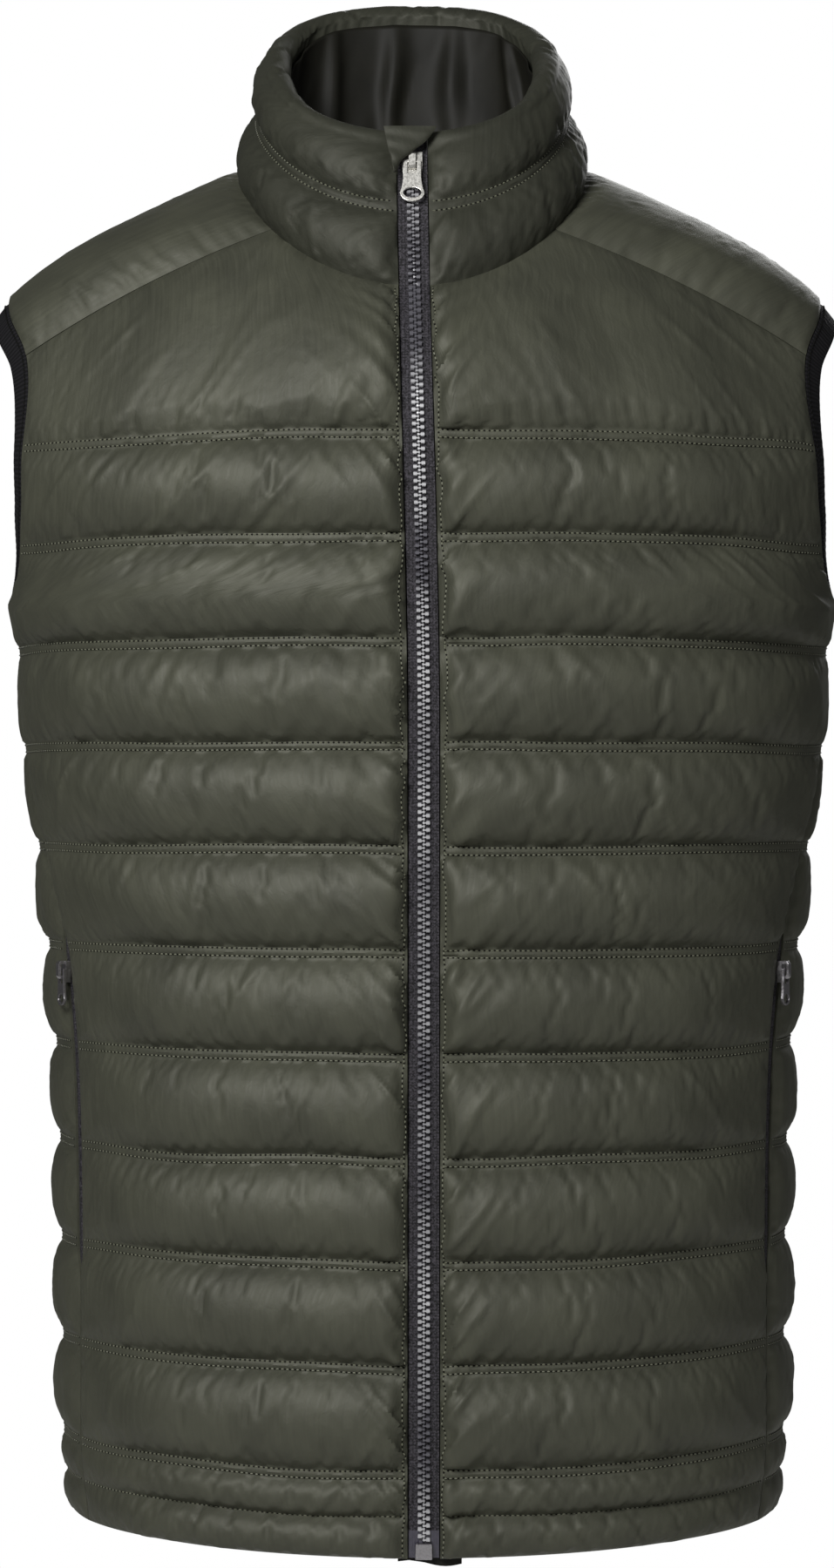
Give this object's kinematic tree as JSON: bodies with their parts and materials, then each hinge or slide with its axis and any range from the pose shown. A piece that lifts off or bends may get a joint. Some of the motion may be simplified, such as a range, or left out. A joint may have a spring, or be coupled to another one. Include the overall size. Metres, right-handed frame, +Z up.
{
  "type": "padded vest",
  "caption": "Sleeveless quilted vest, worn shape, with a padded stand collar, bound armholes, a full front zip and zipped side pockets.",
  "frame": {"origin": "between the shoulders on the vest's midline, at the height where a wearer's shoulders carry it", "axes": "+Z up, the zip faces -Y, +X towards the wearer's left"},
  "size_m": [0.4415, 0.2718, 0.81],
  "materials": {
    "shell_nylon": "fine plain-weave nylon with a satin sheen, quilted over light padding",
    "lining": "smooth near-black nylon",
    "elastic": "matte knitted elastic",
    "zip_tape": "matte woven polyester tape",
    "zip_teeth": "moulded, slightly glossy",
    "zip_metal": "polished cast metal",
    "pocket_metal": "darkened cast metal"
  },
  "bodies": {
    "vest": {"front_left": "shell_nylon", "front_right": "shell_nylon", "back": "shell_nylon", "yoke": "shell_nylon", "collar": "shell_nylon", "collar_facing": "lining", "zip_garage": "shell_nylon", "inner_flap": "lining", "binding_left": "elastic", "binding_right": "elastic", "zip_tape_left": "zip_tape", "zip_tape_right": "zip_tape", "zip_chain": "zip_teeth", "zip_box": "zip_metal", "zip_slider": "zip_metal", "pocket_zip_left": "zip_tape", "pocket_zip_right": "zip_tape", "pocket_slider_left": "pocket_metal", "pocket_slider_right": "pocket_metal"},
    "front_pull": {"zip_pull": "zip_metal"},
    "left_pocket_pull": {"pocket_pull_left": "pocket_metal"},
    "right_pocket_pull": {"pocket_pull_right": "pocket_metal"}
  },
  "joints": [
    {"name": "front_pull_hinge", "type": "hinge", "parent": "vest", "child": "front_pull", "pos_m": [-0.00243, -0.07501, 0.04676], "axis": [-1, 0, 0], "range_deg": [0, 70]},
    {"name": "left_pocket_pull_hinge", "type": "hinge", "parent": "vest", "child": "left_pocket_pull", "pos_m": [0.18924, -0.05009, -0.36547], "axis": [-0.4673, -0.8841, 0], "range_deg": [0, 120]},
    {"name": "right_pocket_pull_hinge", "type": "hinge", "parent": "vest", "child": "right_pocket_pull", "pos_m": [-0.18244, -0.05009, -0.36547], "axis": [-0.4673, 0.8841, 0], "range_deg": [0, 120]}
  ]
}
